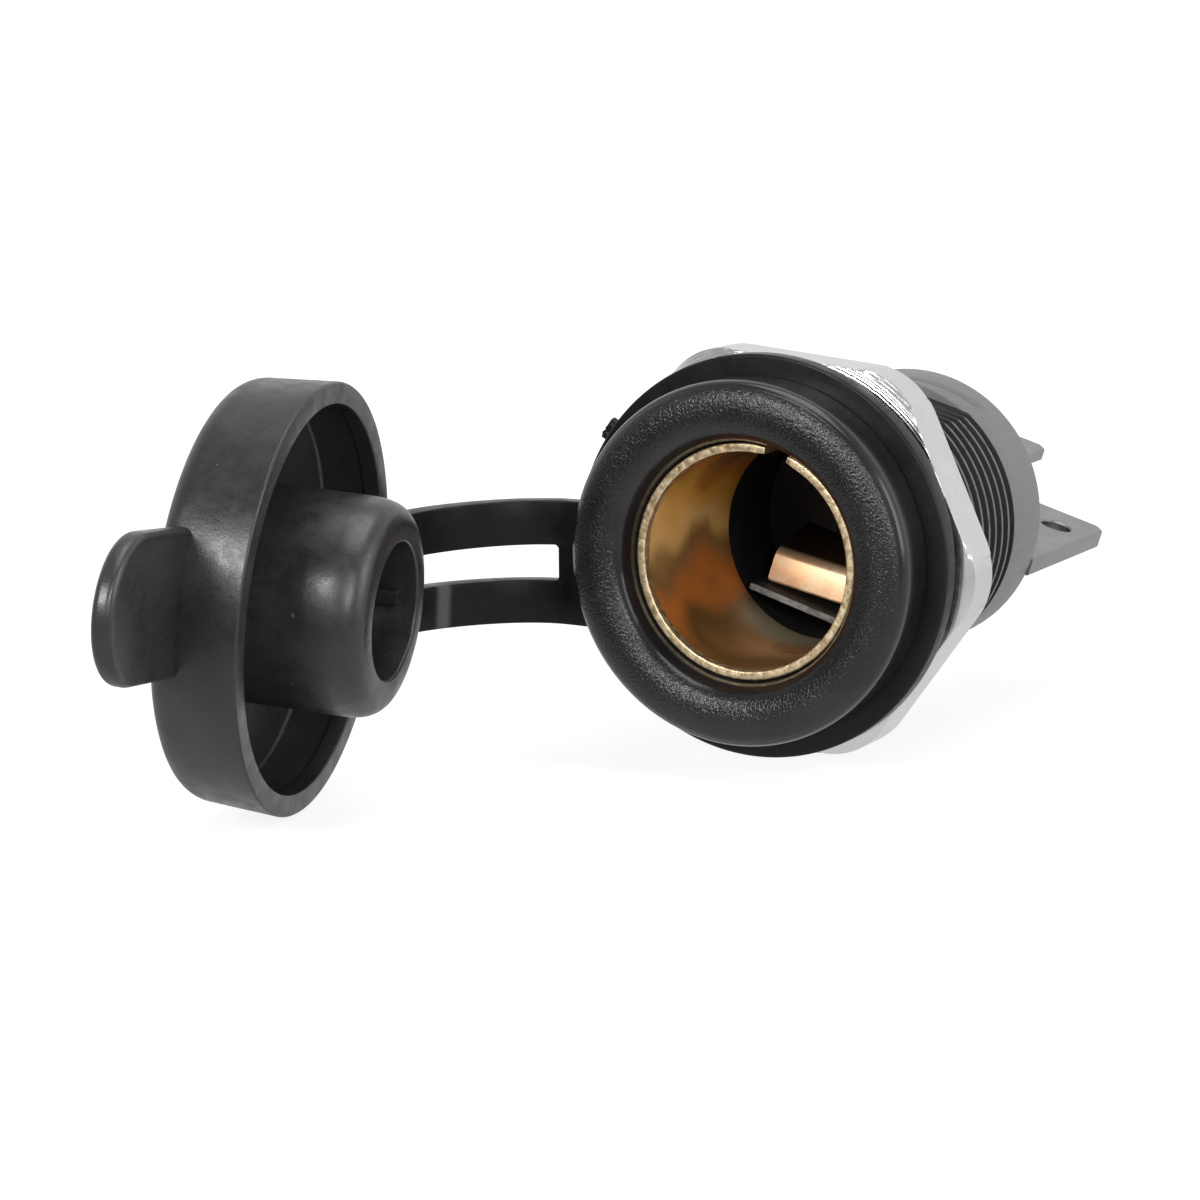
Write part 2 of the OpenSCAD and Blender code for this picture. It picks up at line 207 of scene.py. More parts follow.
def area(loop):
    """Twice the area of a flat loop, positive when it runs counter-clockwise."""
    return sum(loop[i - 1][0] * loop[i][1] - loop[i][0] * loop[i - 1][1] for i in range(len(loop)))


def plate(outer, holes, z0, z1, bevel, place, soft=1):
    """A flat plate with holes, from outlines in its own plane. soft counts the steps round each edge."""
    bm = bmesh.new()
    loops = [outer if area(outer) > 0 else outer[::-1]]
    loops += [h if area(h) < 0 else h[::-1] for h in holes]
    ends = {z0: [], z1: []}
    for loop in loops:
        rows = []
        turn = [math.pi / 2 * k / soft for k in range(soft + 1)]
        low = [(z0 + bevel * (1 - math.cos(a)), bevel * (1 - math.sin(a))) for a in turn]
        for z, d in low + [(z0 + z1 - z, d) for z, d in reversed(low)]:
            rows.append([bm.verts.new(place((p[0], p[1], z)) * MM) for p in inset(loop, d)])
        n = len(loop)
        for a, b in zip(rows, rows[1:]):
            for i in range(n):
                bm.faces.new((a[i], a[(i + 1) % n], b[(i + 1) % n], b[i]))
        ends[z0].append(rows[0])
        ends[z1].append(rows[-1])
    for rows in ends.values():
        edges = []
        for row in rows:
            for i in range(len(row)):
                edges.append(bm.edges.get((row[i], row[(i + 1) % len(row)])))
        bmesh.ops.triangle_fill(bm, use_beauty=True, use_dissolve=False, edges=edges)
    verts = [tuple(v.co / MM) for v in bm.verts]
    bm.verts.index_update()
    faces = [tuple(v.index for v in f.verts) for f in bm.faces]
    bm.free()
    return verts, faces


# Materials

def map_range(nt, value, lo, hi, a, b, kind="SMOOTHSTEP"):
    """Maps lo to a and hi to b, softly or in a straight line."""
    n = nt.nodes.new("ShaderNodeMapRange")
    n.interpolation_type = kind
    n.inputs["From Min"].default_value = lo
    n.inputs["From Max"].default_value = hi
    n.inputs["To Min"].default_value = a
    n.inputs["To Max"].default_value = b
    nt.links.new(value, n.inputs["Value"])
    return n.outputs["Result"]


def coordinate(nt, vector, name):
    """One coordinate of a vector."""
    n = nt.nodes.new("ShaderNodeSeparateXYZ")
    nt.links.new(vector, n.inputs[0])
    return n.outputs[name]


class Paint:
    """A small helper round one node material."""

    def __init__(self, name, color, rough, metal=0.0, spec=0.5):
        self.mat = bpy.data.materials.new(name)
        self.mat.use_nodes = True
        self.nt = self.mat.node_tree
        self.bsdf = self.nt.nodes["Principled BSDF"]
        self.bsdf.inputs["Base Color"].default_value = (*color, 1)
        self.bsdf.inputs["Roughness"].default_value = rough
        self.bsdf.inputs["Metallic"].default_value = metal
        self.bsdf.inputs["Specular IOR Level"].default_value = spec
        self.coord = self.nt.nodes.new("ShaderNodeTexCoord").outputs["Object"]
        self.height = None

    def link(self, a, b):
        self.nt.links.new(a, b)

    def node(self, kind, **inputs):
        n = self.nt.nodes.new(kind)
        for k, v in inputs.items():
            n.inputs[k.replace("_", " ")].default_value = v
        return n

    def mapped(self, scale, rot=(0, 0, 0)):
        """The part's own frame, stretched and turned."""
        n = self.nt.nodes.new("ShaderNodeMapping")
        n.inputs["Scale"].default_value = scale
        n.inputs["Rotation"].default_value = rot
        self.link(self.coord, n.inputs["Vector"])
        return n.outputs["Vector"]

    def noise(self, scale, detail=3, rough=0.6, vector=None):
        n = self.node("ShaderNodeTexNoise", Scale=scale, Detail=detail, Roughness=rough)
        self.link(vector or self.coord, n.inputs["Vector"])
        return n.outputs["Fac"]

    def ramp(self, value, lo, hi, a=0.0, b=1.0):
        """Goes softly from a to b while the value goes from lo to hi."""
        return map_range(self.nt, value, lo, hi, a, b)

    def math(self, op, a, b=None):
        """A sum on numbers or outputs of other nodes."""
        n = self.nt.nodes.new("ShaderNodeMath")
        n.operation = op
        for i, v in enumerate((a, b)):
            if v is None:
                continue
            if isinstance(v, (int, float)):
                n.inputs[i].default_value = v
            else:
                self.link(v, n.inputs[i])
        return n.outputs[0]

    def radius(self):
        """Distance from the bore's axis, in metres."""
        x, z = self.axis("X"), self.axis("Z")
        return self.math("SQRT", self.math("ADD", self.math("MULTIPLY", x, x), self.math("MULTIPLY", z, z)))

    def axis(self, name):
        """One coordinate of the part's own frame, in metres."""
        return coordinate(self.nt, self.coord, name)

    def bands(self, value, stops):
        """Colours that follow a value, as (value, colour) pairs in rising order."""
        lo, hi = stops[0][0], stops[-1][0]
        share = map_range(self.nt, value, lo, hi, 0.0, 1.0, "LINEAR")
        r = self.nt.nodes.new("ShaderNodeValToRGB")
        r.color_ramp.interpolation = "EASE"
        while len(r.color_ramp.elements) < len(stops):
            r.color_ramp.elements.new(0.5)
        for e, (at, color) in zip(r.color_ramp.elements, stops):
            e.position = (at - lo) / (hi - lo)
            e.color = (*color, 1)
        self.link(share, r.inputs["Fac"])
        return r.outputs["Color"]

    def hump(self, value, lo, hi, soft):
        """One between two values, falling to zero over a soft margin outside them."""
        return self.math("MULTIPLY", self.ramp(value, lo - soft, lo), self.ramp(value, hi + soft, hi))

    def mix(self, factor, a, b):
        """A colour between two, each given as a colour or as the output of another node."""
        n = self.nt.nodes.new("ShaderNodeMix")
        n.data_type = "RGBA"
        self.link(factor, n.inputs["Factor"])
        for k, v in (("A", a), ("B", b)):
            s = [i for i in n.inputs if i.name == k and i.type == "RGBA"][0]
            if isinstance(v, (tuple, list)):
                s.default_value = (*v, 1)
            else:
                self.link(v, s)
        return [o for o in n.outputs if o.type == "RGBA"][0]

    def color(self, out):
        self.link(out, self.bsdf.inputs["Base Color"])

    def rough(self, out):
        self.link(out, self.bsdf.inputs["Roughness"])

    def bump(self, out, strength, distance):
        """Stacks one more bump on those before it."""
        n = self.nt.nodes.new("ShaderNodeBump")
        n.inputs["Distance"].default_value = distance
        if isinstance(strength, (int, float)):
            n.inputs["Strength"].default_value = strength
        else:
            self.link(strength, n.inputs["Strength"])
        self.link(out, n.inputs["Height"])
        if self.height is not None:
            self.link(self.height, n.inputs["Normal"])
        self.height = n.outputs["Normal"]
        self.link(self.height, self.bsdf.inputs["Normal"])


def rubber(name, base, rough, spec, dust_low, painted_bend_highlight):
    """Soft rubber with pale dust specks where a fine noise passes dust_low. Near 1 there are none. The last
    argument paints a highlight on the strap's lower leg where it bends away from the cap.
    """
    p = Paint(name, base, rough, spec=spec)
    cloud = p.noise(160, 4, 0.6)
    dust = p.ramp(p.noise(2300, 2, 0.5), dust_low, dust_low + 0.035)
    clean = p.mix(p.ramp(cloud, 0.35, 0.68), tuple(c * 0.80 for c in base), tuple(c * 1.25 for c in base))
    skin = p.mix(dust, clean, (0.10, 0.10, 0.097))
    if painted_bend_highlight:
        # painted highlight: the lower leg is painted pale where it bends away from the cap
        bend_highlight = p.hump(p.axis("Y"), -0.0025, -0.0022, 0.0004)
        bend_highlight = p.math("MULTIPLY", bend_highlight, p.ramp(p.axis("Z"), -0.0016, -0.0020))
        bend_highlight = p.math("MULTIPLY", bend_highlight, p.ramp(cloud, 0.2, 0.5, 0.5, 1.0))
        skin = p.mix(bend_highlight, skin, (0.095, 0.095, 0.095))
    p.color(skin)
    blotch = p.noise(900, 4, 0.7)
    p.rough(p.ramp(blotch, 0.3, 0.7, rough - 0.07, rough + 0.09))
    p.bump(p.noise(6500, 2, 0.6), 0.35, 0.00002)
    p.bump(p.noise(1500, 3, 0.6), 0.15, 0.00005)
    return p.mat


def moulded_black():
    """Body plastic: fine grain on the dome, smooth lip and edge."""
    p = Paint("body_black", (0.015, 0.015, 0.016), 0.36, spec=0.46)
    r = p.radius()
    # the grain lies between the lip and the witness line, on the front only
    grain = p.math("MULTIPLY", p.ramp(r, 0.0070, 0.0075), p.ramp(r, 0.00986, 0.00972))
    grain = p.math("MULTIPLY", grain, p.ramp(p.axis("Y"), -0.0006, -0.0011))
    p.bump(p.noise(6300, 2, 0.6), grain, 0.000055)
    p.bump(p.noise(5200, 3, 0.6), 0.10, 0.00003)
    # polished lip round the sleeve, dull pocket behind it
    lip = p.ramp(r, 0.0070, 0.0074, 0.14, 0.19)
    lip = p.math("ADD", lip, p.ramp(r, 0.00668, 0.006655, 0.0, 0.5))
    p.rough(p.math("ADD", lip, p.ramp(grain, 0, 1, 0.0, 0.03)))
    cloud = p.noise(240, 3, 0.6)
    shell = p.mix(p.ramp(cloud, 0.35, 0.7), (0.009, 0.009, 0.0095), (0.015, 0.015, 0.0155))
    # painted reflection: the chamber's far right side is tinted brown where the brass reflects into it
    brass_reflection = p.math("MULTIPLY", p.ramp(p.axis("Y"), 0.0110, 0.0120), p.ramp(p.axis("X"), 0.0012, 0.0030))
    brass_reflection = p.math("MULTIPLY", brass_reflection, p.ramp(r, 0.00645, 0.00640))
    p.color(p.mix(brass_reflection, shell, (0.085, 0.045, 0.020)))
    return p.mat


def thread_black():
    """Thread: dark rough grooves with paler crests."""
    p = Paint("thread_black", (0.03, 0.03, 0.032), 0.5, spec=0.25)
    crest = p.ramp(p.radius(), 0.008445, 0.008478)
    crest = p.math("MULTIPLY", crest, p.ramp(p.noise(1800, 3, 0.7), 0.25, 0.6, 0.45, 1.0))
    p.color(p.mix(crest, (0.007, 0.007, 0.008), (0.13, 0.13, 0.134)))
    p.rough(p.ramp(crest, 0, 1, 0.62, 0.38))
    p.bump(p.noise(2600, 3, 0.7), 0.35, 0.00008)
    return p.mat


def rear_grey():
    """Plain rear section: grey-black moulding with a soft sheen."""
    p = Paint("rear_grey", (0.155, 0.155, 0.16), 0.46)
    cloud = p.noise(300, 4, 0.65)
    streak = p.noise(900, 3, 0.6, p.mapped((1, 0.12, 1)))
    clean = p.mix(p.ramp(cloud, 0.3, 0.7), (0.140, 0.140, 0.144), (0.172, 0.172, 0.176))
    skin = p.mix(p.ramp(streak, 0.5, 0.75, 0, 0.5), clean, (0.20, 0.20, 0.20))
    # dark scuffs run aslant over the top
    lean = p.math("SUBTRACT", p.axis("Y"), p.math("MULTIPLY", p.axis("X"), 0.385))
    top = p.math("MULTIPLY", p.hump(p.axis("X"), 0.0012, 0.0048, 0.0009), p.ramp(p.axis("Z"), 0.004, 0.006))
    top = p.math("MULTIPLY", top, p.ramp(p.noise(420, 2, 0.5), 0.34, 0.46))
    for at in (0.01980, 0.01932, 0.01905):
        line = p.math("MULTIPLY", p.hump(lean, at - 0.00003, at + 0.00003, 0.00007), top)
        skin = p.mix(line, skin, (0.035, 0.035, 0.036))
    p.color(skin)
    p.rough(p.ramp(cloud, 0.3, 0.7, 0.40, 0.52))
    p.bump(p.noise(2400, 2, 0.6), 0.08, 0.00005)
    return p.mat


def brass(name, wall):
    """Drawn brass. The inner wall carries tarnish and a painted highlight band, the rim is grainy and bright.
    """
    base = (0.80, 0.56, 0.24) if wall else (0.86, 0.72, 0.48)
    p = Paint(name, base, 0.3, metal=0.30 if wall else 0.85)
    if wall:
        cloud = p.noise(210, 1, 0.5)
        drift = p.math("MULTIPLY", p.math("SUBTRACT", cloud, 0.5), 0.006)
        # colour bands up the wall: tarnish, with a painted highlight in the bright gold band at middle height
        tarnish_and_highlight = p.bands(p.math("ADD", p.axis("Z"), drift), [
            (-0.0062, (0.34, 0.17, 0.06)), (-0.0045, (0.20, 0.10, 0.03)), (-0.0025, (0.66, 0.21, 0.04)),
            (-0.0007, (0.36, 0.18, 0.06)), (0.0009, (0.90, 0.56, 0.19)), (0.0026, (0.74, 0.38, 0.06)),
            (0.0038, (0.52, 0.20, 0.03)), (0.0055, (0.20, 0.12, 0.05))])
        # it is dull and greenish deep in the bore at the bottom, and has small brown spots
        deep = p.math("MULTIPLY", p.ramp(p.axis("Y"), 0.0065, 0.0095), p.ramp(p.axis("Z"), -0.0036, -0.0050))
        skin = p.mix(deep, tarnish_and_highlight, (0.34, 0.30, 0.20))
        p.color(p.mix(p.ramp(p.noise(3400, 2, 0.6), 0.70, 0.76), skin, (0.20, 0.11, 0.04)))
        p.rough(p.ramp(cloud, 0.3, 0.7, 0.24, 0.40))
        p.bump(p.noise(700, 3, 0.6, p.mapped((1, 0.2, 1))), 0.10, 0.0001)
        p.bump(p.noise(2600, 2, 0.6), 0.08, 0.00005)
    else:
        n = p.noise(2600, 3, 0.75)
        p.color(p.mix(p.ramp(n, 0.35, 0.65), (0.50, 0.36, 0.19), (0.86, 0.70, 0.46)))
        p.rough(p.ramp(n, 0.3, 0.7, 0.28, 0.5))
        p.bump(n, 0.5, 0.0001)
    return p.mat


def copper():
    """Copper strip with faint rolling lines across the bore."""
    p = Paint("copper_leaf", (0.86, 0.55, 0.34), 0.38, metal=0.6)
    n = p.noise(900, 3, 0.6)
    lines = p.noise(1400, 3, 0.6, p.mapped((0.25, 1, 1), (0, ROLL, 0)))
    clean = p.mix(p.ramp(n, 0.35, 0.7), (0.90, 0.56, 0.31), (0.97, 0.74, 0.50))
    # painted shade: the leaf is painted dark where it runs back behind its crest
    p.color(p.mix(p.ramp(p.axis("Y"), 0.0129, 0.0134), clean, (0.06, 0.035, 0.02)))
    p.rough(p.ramp(n, 0.3, 0.7, 0.34, 0.48))
    p.bump(lines, 0.12, 0.00006)
    p.bump(p.noise(2600, 2, 0.6), 0.12, 0.00004)
    return p.mat


def plated(name, base, rough, marks):
    """Plated metal with a faint cloud. marks adds the nut's turning marks."""
    p = Paint(name, base, rough, metal=1.0)
    n = p.noise(500, 4, 0.7)
    p.color(p.mix(p.ramp(n, 0.35, 0.7), tuple(c * 0.93 for c in base), base))
    p.rough(p.ramp(n, 0.3, 0.7, rough - 0.05, rough + 0.07))
    if marks:
        # turning marks on the upper front face and its chamfer, smooth elsewhere
        face = p.ramp(p.axis("Y"), (NUT_Y + 0.42) * MM, (NUT_Y + 0.30) * MM)
        face = p.math("MULTIPLY", face, p.ramp(p.axis("Z"), 0.0025, 0.0060, 0.05, 0.45))
        w = p.node("ShaderNodeTexWave", Scale=1700.0, Distortion=1.5, Detail=3.0)
        w.wave_type = "RINGS"
        w.rings_direction = "Y"
        w.inputs["Detail Scale"].default_value = 1.6
        p.link(p.coord, w.inputs["Vector"])
        p.bump(w.outputs["Fac"], p.math("MULTIPLY", face, 0.45), 0.00006)
        p.bump(p.noise(1700, 3, 0.75), p.math("ADD", p.math("MULTIPLY", face, 0.08), 0.03), 0.00008)
    else:
        p.bump(p.noise(1500, 3, 0.7), 0.12, 0.00005)
    return p.mat


def fibre():
    """Dark insulating sheet with a frayed cut edge."""
    p = Paint("fibre_sheet", (0.22, 0.22, 0.21), 0.6)
    n = p.noise(1800, 4, 0.75, p.mapped((0.5, 1, 1), (0, ROLL, 0)))
    cut = p.mix(p.ramp(n, 0.3, 0.7), (0.09, 0.09, 0.088), (0.33, 0.33, 0.315))
    # only the cut front edge is pale
    p.color(p.mix(p.ramp(p.axis("Y"), 0.01102, 0.01108), cut, (0.012, 0.012, 0.012)))
    p.bump(n, 0.5, 0.0001)
    return p.mat


RUBBER_CAP = rubber("rubber_cap", (0.020, 0.020, 0.0205), 0.33, 0.6, 0.745, False)
RUBBER_STRAP = rubber("rubber_strap", (0.008, 0.008, 0.0085), 0.34, 0.2, 0.95, True)
BODY = moulded_black()
THREAD = thread_black()
REAR = rear_grey()
BRASS_WALL = brass("brass_wall", True)
BRASS_RIM = brass("brass_rim", False)
COPPER = copper()
NUT = plated("nut_plating", (0.67, 0.67, 0.665), 0.27, True)
BLADE = plated("blade_tin", (0.26, 0.26, 0.26), 0.36, False)
FIBRE = fibre()


# Socket body

LIP_START = 0.25
WITNESS_R, WITNESS_W = 9.86, 0.045
CORE_R = ROOT_R - 0.2
REAR_FACE_R = 6.0


def head_pt(share_r, share_y):
    """A point of the head's front, by its shares of the front's width and of the rise."""
    return (POCKET_R + (HEAD_R - POCKET_R) * share_r, -RISE * share_y)


def witness(r, y):
    """Sinks a shallow witness line between the grained dome and the polished edge."""
    line = math.exp(-((r - WITNESS_R) / WITNESS_W) ** 2)
    return (r - 0.012 * line, y + 0.016 * line)


def head_outline():
    """The head as (radius, y) pairs, from the sleeve's pocket over lip and dome to the edge."""
    lip_top = head_pt(0.258, 0.857)
    crest_out = head_pt(0.731, 0.943)
    round_end = head_pt(1, 0.343)
    out = [(POCKET_R, SLEEVE_LEN), (POCKET_R, LIP_START)]
    out += bez((POCKET_R, LIP_START), head_pt(0.043, 0.657), lip_top, 14)
    out += bez(lip_top, head_pt(0.473, 1.057), crest_out, 14)
    out += [witness(r, y) for r, y in bez(crest_out, head_pt(1, 0.823), round_end, 22)]
    return out


def body_outline():
    """The whole turned outline, from the chamber's floor round to the middle of the rear face."""
    chamber = [(0.0, CHAMBER_END), (CHAMBER_R, CHAMBER_END), (CHAMBER_R, SLEEVE_LEN)]
    edge = fillet([(HEAD_R, -0.5), (HEAD_R, HEAD_BACK), (CORE_R, HEAD_BACK)],
                  [0, 0.16, 0], 5, closed=False)[1:]
    rear = fillet([(CORE_R, THREAD_END), (REAR_R, THREAD_END), (REAR_R, BODY_END), (REAR_FACE_R, BODY_END)],
                  [0, 0.12, 0.22, 0], 5, closed=False)
    return chamber + head_outline() + edge + [(CORE_R, THREAD_END - 0.1)] + rear + [(0.0, BODY_END)]


def body_moulding():
    """The black moulding, whose rear section wears a grey skin of its own."""
    verts, faces = turned(body_outline(), 288, along_y, loop=False)
    obj = build("body_moulding", verts, faces, BODY, "socket", ["socket_body"])
    obj.data.materials.append(REAR)
    for face in obj.data.polygons:
        c = face.center
        if c.y > (THREAD_END - 0.15) * MM and math.hypot(c.x, c.z) > 1.0 * MM:
            face.material_index = 1


# the thread's section over one pitch: share of the pitch, share of the depth below the crest
THREAD_FORM = ((0.0, 0.0), (0.10, 0.0), (0.16, 0.10), (0.38, 1.0),
               (0.50, 1.06), (0.62, 1.0), (0.84, 0.10), (0.90, 0.0))
THREAD_DEPTH, THREAD_STEPS, RUN_OUT = 0.56, 260, 0.35
THREAD_SHY = 0.02


def thread_point(step, share, drop):
    """One point of the helix, a number of steps from its start. The flat cuts it off on one side."""
    t = TAU * (step % THREAD_STEPS) / THREAD_STEPS
    y = HEAD_BACK - PITCH + (step / THREAD_STEPS + share) * PITCH
    y = min(max(y, HEAD_BACK - THREAD_SHY), THREAD_END - THREAD_SHY)
    r = BARREL_R - THREAD_SHY - THREAD_DEPTH * drop
    if y > THREAD_END - RUN_OUT:
        r = min(r, BARREL_R - (y - THREAD_END + RUN_OUT) * 0.5)
    facing = math.cos(t - ROLL)
    if facing > 0.2:
        r = min(r, FLAT_M / facing - 0.01)
    return (r * math.sin(t), y, r * math.cos(t))


def body_thread():
    """Helical thread. The last point of each section meets the first one of the next turn."""
    turns = int((THREAD_END - HEAD_BACK) / PITCH) + 2
    total = turns * THREAD_STEPS
    rows = len(THREAD_FORM)
    verts = []
    for step in range(total + THREAD_STEPS + 1):
        verts += [thread_point(step, share, drop) for share, drop in THREAD_FORM]
    faces = []
    for step in range(total):
        for j in range(rows):
            a, b = step * rows + j, (step + 1) * rows + j
            if j + 1 < rows:
                c, d = b + 1, a + 1
            else:
                c, d = (step + 1 + THREAD_STEPS) * rows, (step + THREAD_STEPS) * rows
            faces.append((a, d, c, b))
    build("body_thread", verts, faces, THREAD, "socket", (), angle=28, closed=False)


# a parting line's section: degrees from its middle, height over the skin
PARTING_FORM = ((-0.9, -0.03), (-0.35, 0.02), (0.0, 0.035), (0.35, 0.02), (0.9, -0.03))
PARTING_TURN = 100


def parting_line(number, turn):
    """A raised hair line along the rear section."""
    rows = []
    for y in np.linspace(THREAD_END + 0.15, BODY_END - 0.25, 20):
        row = []
        for degrees, height in PARTING_FORM:
            a = turn + math.radians(degrees)
            row.append(((REAR_R + height) * math.sin(a), y, (REAR_R + height) * math.cos(a)))
        rows.append(row)
    verts, faces = loft(rows, around=False, caps=False)
    build("parting_line_%d" % number, verts, faces, REAR, "socket", (), closed=False)


body_moulding()
body_thread()
parting_line(0, math.radians(PARTING_TURN))
parting_line(1, math.radians(PARTING_TURN + 180))


# Contacts

LEAD_IN, SLEEVE_EDGE = 0.55, 0.05
SLIT_HALF = math.asin(0.7 / 6.35)
ROOT_END, ARM_BACK, BLADE_ROOT = 17.4, 19.2, BODY_END - 0.1
LEAF_HALF, LEAF_T, LEAF_TWIST = 3.5, 0.5, math.radians(4.5)
LEAF_CREST, LEAF_RUN, LEAF_TIP = 13.5, 3.7, -3.8
# places across the leaf as shares of its half width, and how far its front edge is drawn up there
LEAF_SIDES = ((-1, 0.10), (-0.99, 0.04), (-0.965, 0.0), (0, 0.0), (0.965, 0.0), (0.99, 0.04), (1, 0.10))
SHELF_HALF, SHELF_FRONT, SHELF_LOW, SHELF_TOP = 3.7, 11.0, -4.86, -4.46
BLADE_W, BLADE_TIP, BLADE_EDGE = 6.3, 36.3, 0.09
HOLE_Y, TIP_CUT, TIP_ROUND = 32.6, 0.6, 0.4


def in_contacts(p):
    """Contact frame (across, along the bore, up) to the row frame."""
    return rolled(*p)


def sleeve_section():
    """The sleeve's wall as (radius, y) pairs, with its long sides cut into short steps."""
    corners = fillet([(BORE_R, 0), (BORE_R, LEAD_IN), (BORE_R, SLEEVE_LEN), (SLEEVE_RO, SLEEVE_LEN),
                      (SLEEVE_RO, 0)], [0.10, 0, SLEEVE_EDGE, SLEEVE_EDGE, 0.12], 4)
    out = []
    for i, p in enumerate(corners):
        q = corners[(i + 1) % len(corners)]
        steps = 14 if math.dist(p, q) > 3 else 1
        out += [(p[0] + (q[0] - p[0]) * k / steps, p[1] + (q[1] - p[1]) * k / steps) for k in range(steps)]
    return out


def sleeve_tube():
    """Rolled tube with a slit. Its section shrinks a little over the last three steps at the slit."""
    steps = 220
    mid_r, mid_y = (BORE_R + SLEEVE_RO) / 2, SLEEVE_LEN / 2
    rings = []
    for i in range(steps + 1):
        t = ROLL + SLIT_HALF + (TAU - 2 * SLIT_HALF) * i / steps
        shrink = SLEEVE_EDGE - SLEEVE_EDGE * min(i, steps - i, 3) / 3
        row = []
        for r, y in sleeve_section():
            r -= math.copysign(shrink, r - mid_r)
            y -= math.copysign(shrink, y - mid_y)
            row.append((r * math.sin(t), y, r * math.cos(t)))
        rings.append(row)
    verts, faces = loft(rings)
    obj = build("sleeve_tube", verts, faces, BRASS_WALL, "socket", ["outer_sleeve"], angle=40)
    # the front face and the lead-in are grainy and bright
    obj.data.materials.append(BRASS_RIM)
    for face in obj.data.polygons:
        c = face.center
        inside = math.hypot(c.x, c.z) < (BORE_R + 0.2) * MM
        if c.y < 0.12 * MM or (inside and c.y < LEAD_IN * MM):
            face.material_index = 1


def leaf_section():
    """The folded strip as (y, height) pairs: its root, the crest, the steep front, and back below."""
    top = [(18.75, -1.40), (17.2, -1.40), (LEAF_CREST, -2.05)]
    top += bez((LEAF_CREST, -2.05), (12.72, -2.16), (12.62, -2.62), 12)
    top += [(12.28, -4.07)]
    last = len(top) - 1
    low = []
    for i, p in enumerate(top):
        a, b = top[max(0, i - 1)], top[min(last, i + 1)]
        d = Vector((b[0] - a[0], b[1] - a[1])).normalized()
        low.append(tuple(Vector(p) + Vector((-d.y, d.x)) * LEAF_T))
    sharp = [0] * last
    return fillet(top + low[::-1], sharp + [0.14, 0.14] + sharp, 3)


def leaf_place(l, y, m):
    """The leaf turns back into line with the blades behind its crest."""
    a = -LEAF_TWIST * (1 - min(1, max(0, (y - LEAF_CREST) / LEAF_RUN)))
    return rolled(l * math.cos(a) + m * math.sin(a), y, -l * math.sin(a) + m * math.cos(a))


def contact_leaf():
    """The copper leaf, whose front edge is rounded off at both corners."""
    rings = []
    for side, inset in LEAF_SIDES:
        row = []
        for y, m in leaf_section():
            row.append(leaf_place(side * LEAF_HALF, y, m + inset if m < LEAF_TIP else m))
        rings.append(row)
    verts, faces = loft(rings)
    build("contact_leaf", verts, faces, COPPER, "socket", ["centre_contact"], angle=38)


def insulating_shelf():
    """The thin strip across the chamber below the leaf."""
    outline = fillet([(-SHELF_HALF, SHELF_FRONT), (SHELF_HALF, SHELF_FRONT), (SHELF_HALF, ROOT_END),
                      (-SHELF_HALF, ROOT_END)], [0.2, 0.2, 0, 0], 4)
    verts, faces = plate(outline, [], SHELF_LOW, SHELF_TOP, 0.05, in_contacts)
    build("insulating_shelf", verts, faces, FIBRE, "socket", ["insulator_shelf"], angle=35)


def blade_outline(l0, root):
    """Blade with broken corners, then the part that runs through the rear wall."""
    wide = l0 + BLADE_W
    pts = [(wide, BLADE_ROOT), (wide, BLADE_TIP - TIP_CUT), (wide - TIP_CUT, BLADE_TIP),
           (l0 + TIP_CUT, BLADE_TIP), (l0, BLADE_TIP - TIP_CUT), (l0, BLADE_ROOT)] + root
    return fillet(pts, [TIP_ROUND if y > HOLE_Y else 0.0 for _, y in pts], 4)


def circle(cx, cy, r, n=40):
    """Points of a full circle."""
    return [(cx + r * math.cos(TAU * i / n), cy + r * math.sin(TAU * i / n)) for i in range(n)]


def blade(name, node, outline, hole, low, top):
    """One flat terminal between two heights of the contact frame."""
    verts, faces = plate(outline, [hole], low, top, BLADE_EDGE, in_contacts)
    build(name, verts, faces, BLADE, "socket", [node], angle=30)


def centre_blade():
    """The blade right of the body, with a root narrower than itself."""
    root = [(2.3, BLADE_ROOT), (2.3, ROOT_END), (5.4, ROOT_END), (5.4, BLADE_ROOT)]
    hole = circle(6.3, HOLE_Y, 0.95)
    blade("centre_blade", "centre_terminal", blade_outline(2.05, root), hole, -1.4, -0.25)


def sleeve_blade():
    """The upper blade, whose root has an arm that reaches the sleeve's rear end."""
    arm = [(-3.15, ROOT_END), (3.0, ROOT_END), (3.0, SLEEVE_LEN), (5.43, SLEEVE_LEN), (5.43, ARM_BACK),
           (3.15, ARM_BACK)]
    hole = circle(0, HOLE_Y, 1.05)
    blade("sleeve_blade", "sleeve_terminal", blade_outline(-3.15, arm), hole, 2.5, 3.3)


sleeve_tube()
contact_leaf()
insulating_shelf()
centre_blade()
sleeve_blade()


# Nut

NUT_STEPS = 324
CORNER_OUT = (NUT_AF / 2 - NUT_CORNER) / math.cos(math.radians(30))
CORNER_CUT, CUT_DEPTH = 0.56, 0.35
NUT_GROOVE, NUT_GROOVES = 0.22, 8
# depth behind the front face, and how far the outline is drawn in there
NUT_EDGES = ((0.0, 0.10), (0.02, 0.045), (0.055, 0.012), (0.11, 0.0), (0.35, 0.0),
             (NUT_T - 0.35, 0.0), (NUT_T - 0.22, 0.0), (NUT_T - 0.12, 0.03), (NUT_T - 0.05, 0.10),
             (NUT_T, 0.22))


